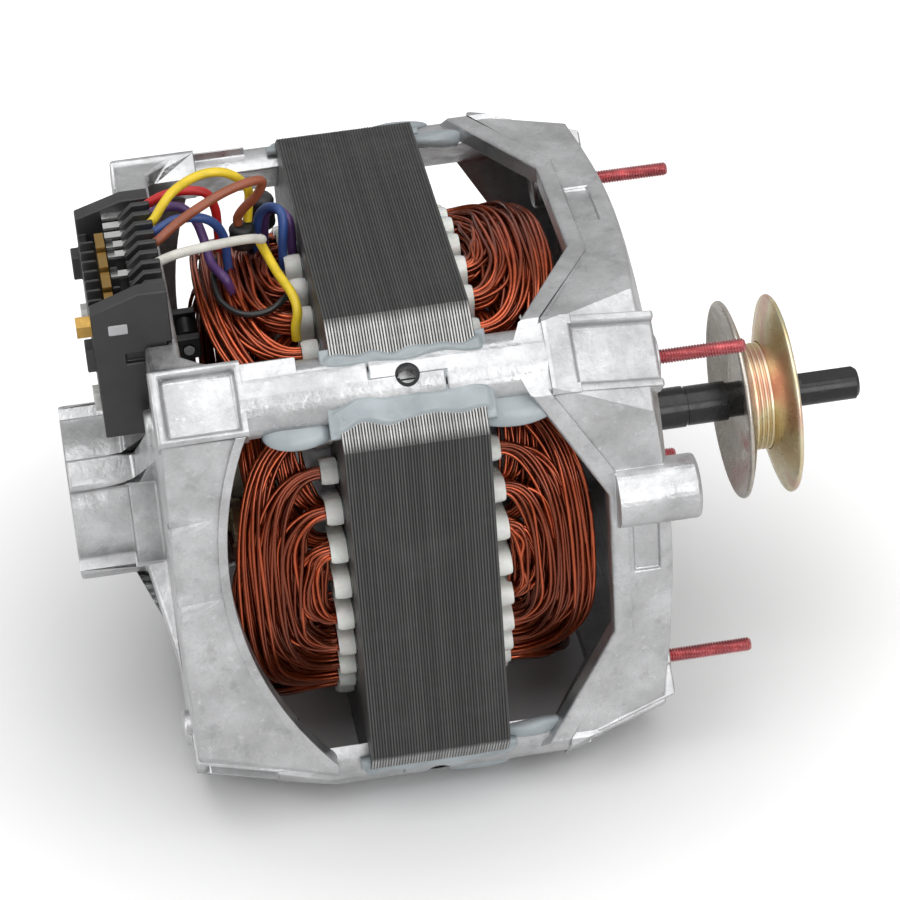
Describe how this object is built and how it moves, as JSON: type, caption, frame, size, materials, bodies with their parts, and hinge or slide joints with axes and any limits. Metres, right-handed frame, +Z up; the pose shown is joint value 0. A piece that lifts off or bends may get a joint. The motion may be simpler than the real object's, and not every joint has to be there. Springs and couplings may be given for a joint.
{
  "type": "washing machine motor",
  "caption": "Open square induction motor with cast end shields bonded to a laminated core, copper windings, a motor switch with leads, threaded studs and a belt pulley on its shaft.",
  "frame": {"origin": "on the shaft axis, in the plane of the stud bosses of the drive end shield", "axes": "+X along the shaft towards the pulley, +Z up, the switch on the upper side"},
  "size_m": [0.2287, 0.155, 0.17],
  "materials": {
    "aluminium_casting": "as cast, satin",
    "lamination_steel": "dark varnished sheet edges",
    "insulator_white": "translucent off-white",
    "copper_wire": "amber enamel over copper",
    "lacing_black": "waxed cord",
    "epoxy": "pale blue-grey, cured in blobs",
    "red_zinc": "red dyed plating",
    "rotor_steel": "turned laminations",
    "rotor_aluminium": "die cast",
    "black_oxide": "black oxide, oiled",
    "yellow_zinc": "yellow passivated zinc",
    "grey_zinc": "faded yellow passivated zinc",
    "bronze": "sintered",
    "felt": "oiled felt",
    "steel": "bright zinc",
    "washer_phenolic": "phenolic sheet",
    "governor_steel": "yellow zinc",
    "collar_plastic": "moulded",
    "switch_black": "moulded, slightly glossy",
    "tin": "tin plated",
    "brass": "plain",
    "clear_plastic": "clear, moulded",
    "lead_yellow": "lead insulation",
    "lead_red": "lead insulation",
    "lead_violet": "lead insulation",
    "lead_blue": "lead insulation",
    "lead_brown": "lead insulation",
    "lead_white": "lead insulation",
    "sleeve_black": "shrunk sleeve"
  },
  "bodies": {
    "frame": {"stator_core": "lamination_steel", "slot_insulators": "insulator_white", "winding_front": "copper_wire", "winding_top": "copper_wire", "winding_back": "copper_wire", "winding_bottom": "copper_wire", "winding_tie": "lacing_black", "rear_end_shield": "aluminium_casting", "drive_end_shield": "aluminium_casting", "epoxy_bonds": "epoxy", "roll_pins": "black_oxide", "mounting_studs": "red_zinc", "rear_bearing": "bronze", "drive_bearing": "bronze", "rear_wick": "felt", "drive_wick": "felt", "rear_retainer": "steel", "drive_retainer": "steel", "switch_base": "switch_black", "switch_comb": "switch_black", "spade_terminals": "tin", "brass_contacts": "brass", "terminal_screw": "brass", "switch_screws": "steel", "switch_rivets": "clear_plastic", "lever_pin": "steel", "lead_yellow": "lead_yellow", "lead_red": "lead_red", "lead_violet": "lead_violet", "lead_blue": "lead_blue", "lead_brown": "lead_brown", "lead_white": "lead_white", "splice_sleeves": "sleeve_black"},
    "rotor": {"rotor_core": "rotor_steel", "rear_end_ring": "rotor_aluminium", "drive_end_ring": "rotor_aluminium", "shaft": "black_oxide", "pulley_inner_flange": "grey_zinc", "pulley_outer_flange": "yellow_zinc", "pulley_barrel": "yellow_zinc", "rear_thrust_washer": "washer_phenolic", "drive_thrust_washer": "washer_phenolic", "governor_plate": "governor_steel", "governor_pins": "steel", "governor_spring": "steel"},
    "collar": {"governor_collar": "collar_plastic"},
    "upper_weight": {"governor_weight_upper": "governor_steel"},
    "lower_weight": {"governor_weight_lower": "governor_steel"},
    "lever": {"switch_lever": "switch_black"}
  },
  "joints": [
    {"name": "rotor_spin", "type": "hinge", "parent": "frame", "child": "rotor", "pos_m": [0, 0, 0], "axis": [1, 0, 0], "continuous": true},
    {"name": "collar_slide", "type": "slide", "parent": "rotor", "child": "collar", "axis": [1, 0, 0], "range_m": [0, 0.0042], "stiffness_N_per_m": 200, "springref_m": -0.004, "deforming": ["governor_spring"]},
    {"name": "upper_weight_swing", "type": "hinge", "parent": "rotor", "child": "upper_weight", "pos_m": [-0.114, 0, 0.023], "axis": [0, -1, 0], "range_deg": [0, 19.4]},
    {"name": "lower_weight_swing", "type": "hinge", "parent": "rotor", "child": "lower_weight", "pos_m": [-0.114, 0, -0.023], "axis": [0, 1, 0], "range_deg": [0, 19.4]},
    {"name": "lever_swing", "type": "hinge", "parent": "frame", "child": "lever", "pos_m": [-0.1223, 0, 0.047], "axis": [0, -1, 0], "range_deg": [0, 6.85]}
  ],
  "couplings": [
    {"joint": "upper_weight_swing", "follows": "collar_slide", "rad_per_m": 80.608},
    {"joint": "lower_weight_swing", "follows": "collar_slide", "rad_per_m": 80.608},
    {"joint": "lever_swing", "follows": "collar_slide", "rad_per_m": 28.455}
  ]
}
